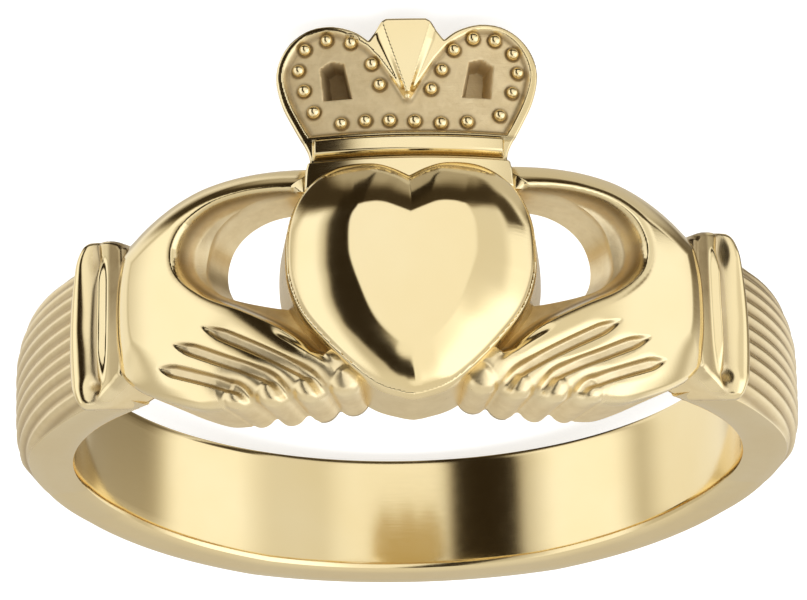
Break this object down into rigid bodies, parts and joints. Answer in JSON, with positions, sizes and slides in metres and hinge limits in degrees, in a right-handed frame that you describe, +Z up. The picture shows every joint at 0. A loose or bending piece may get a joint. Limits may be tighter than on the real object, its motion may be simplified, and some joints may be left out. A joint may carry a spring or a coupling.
{
  "type": "claddagh ring",
  "caption": "Gold finger ring in the claddagh form: two cuffed hands hold a domed heart under an open beaded crown, on a rounded band. It lies on its side.",
  "frame": {"origin": "middle of the ring's box, on the surface it lies on", "axes": "+Z up from the surface, -Y towards the heart's front, +Y towards the back of the band, X across the ring. The ring lies crown down, so the finger axis leans 14.3 degrees from +Z towards +Y."},
  "size_m": [0.0202, 0.0216, 0.0101],
  "materials": {
    "gold": "polished pale yellow gold, satin in the recesses"
  },
  "bodies": {
    "root": {"ring": "gold"}
  },
  "joints": []
}
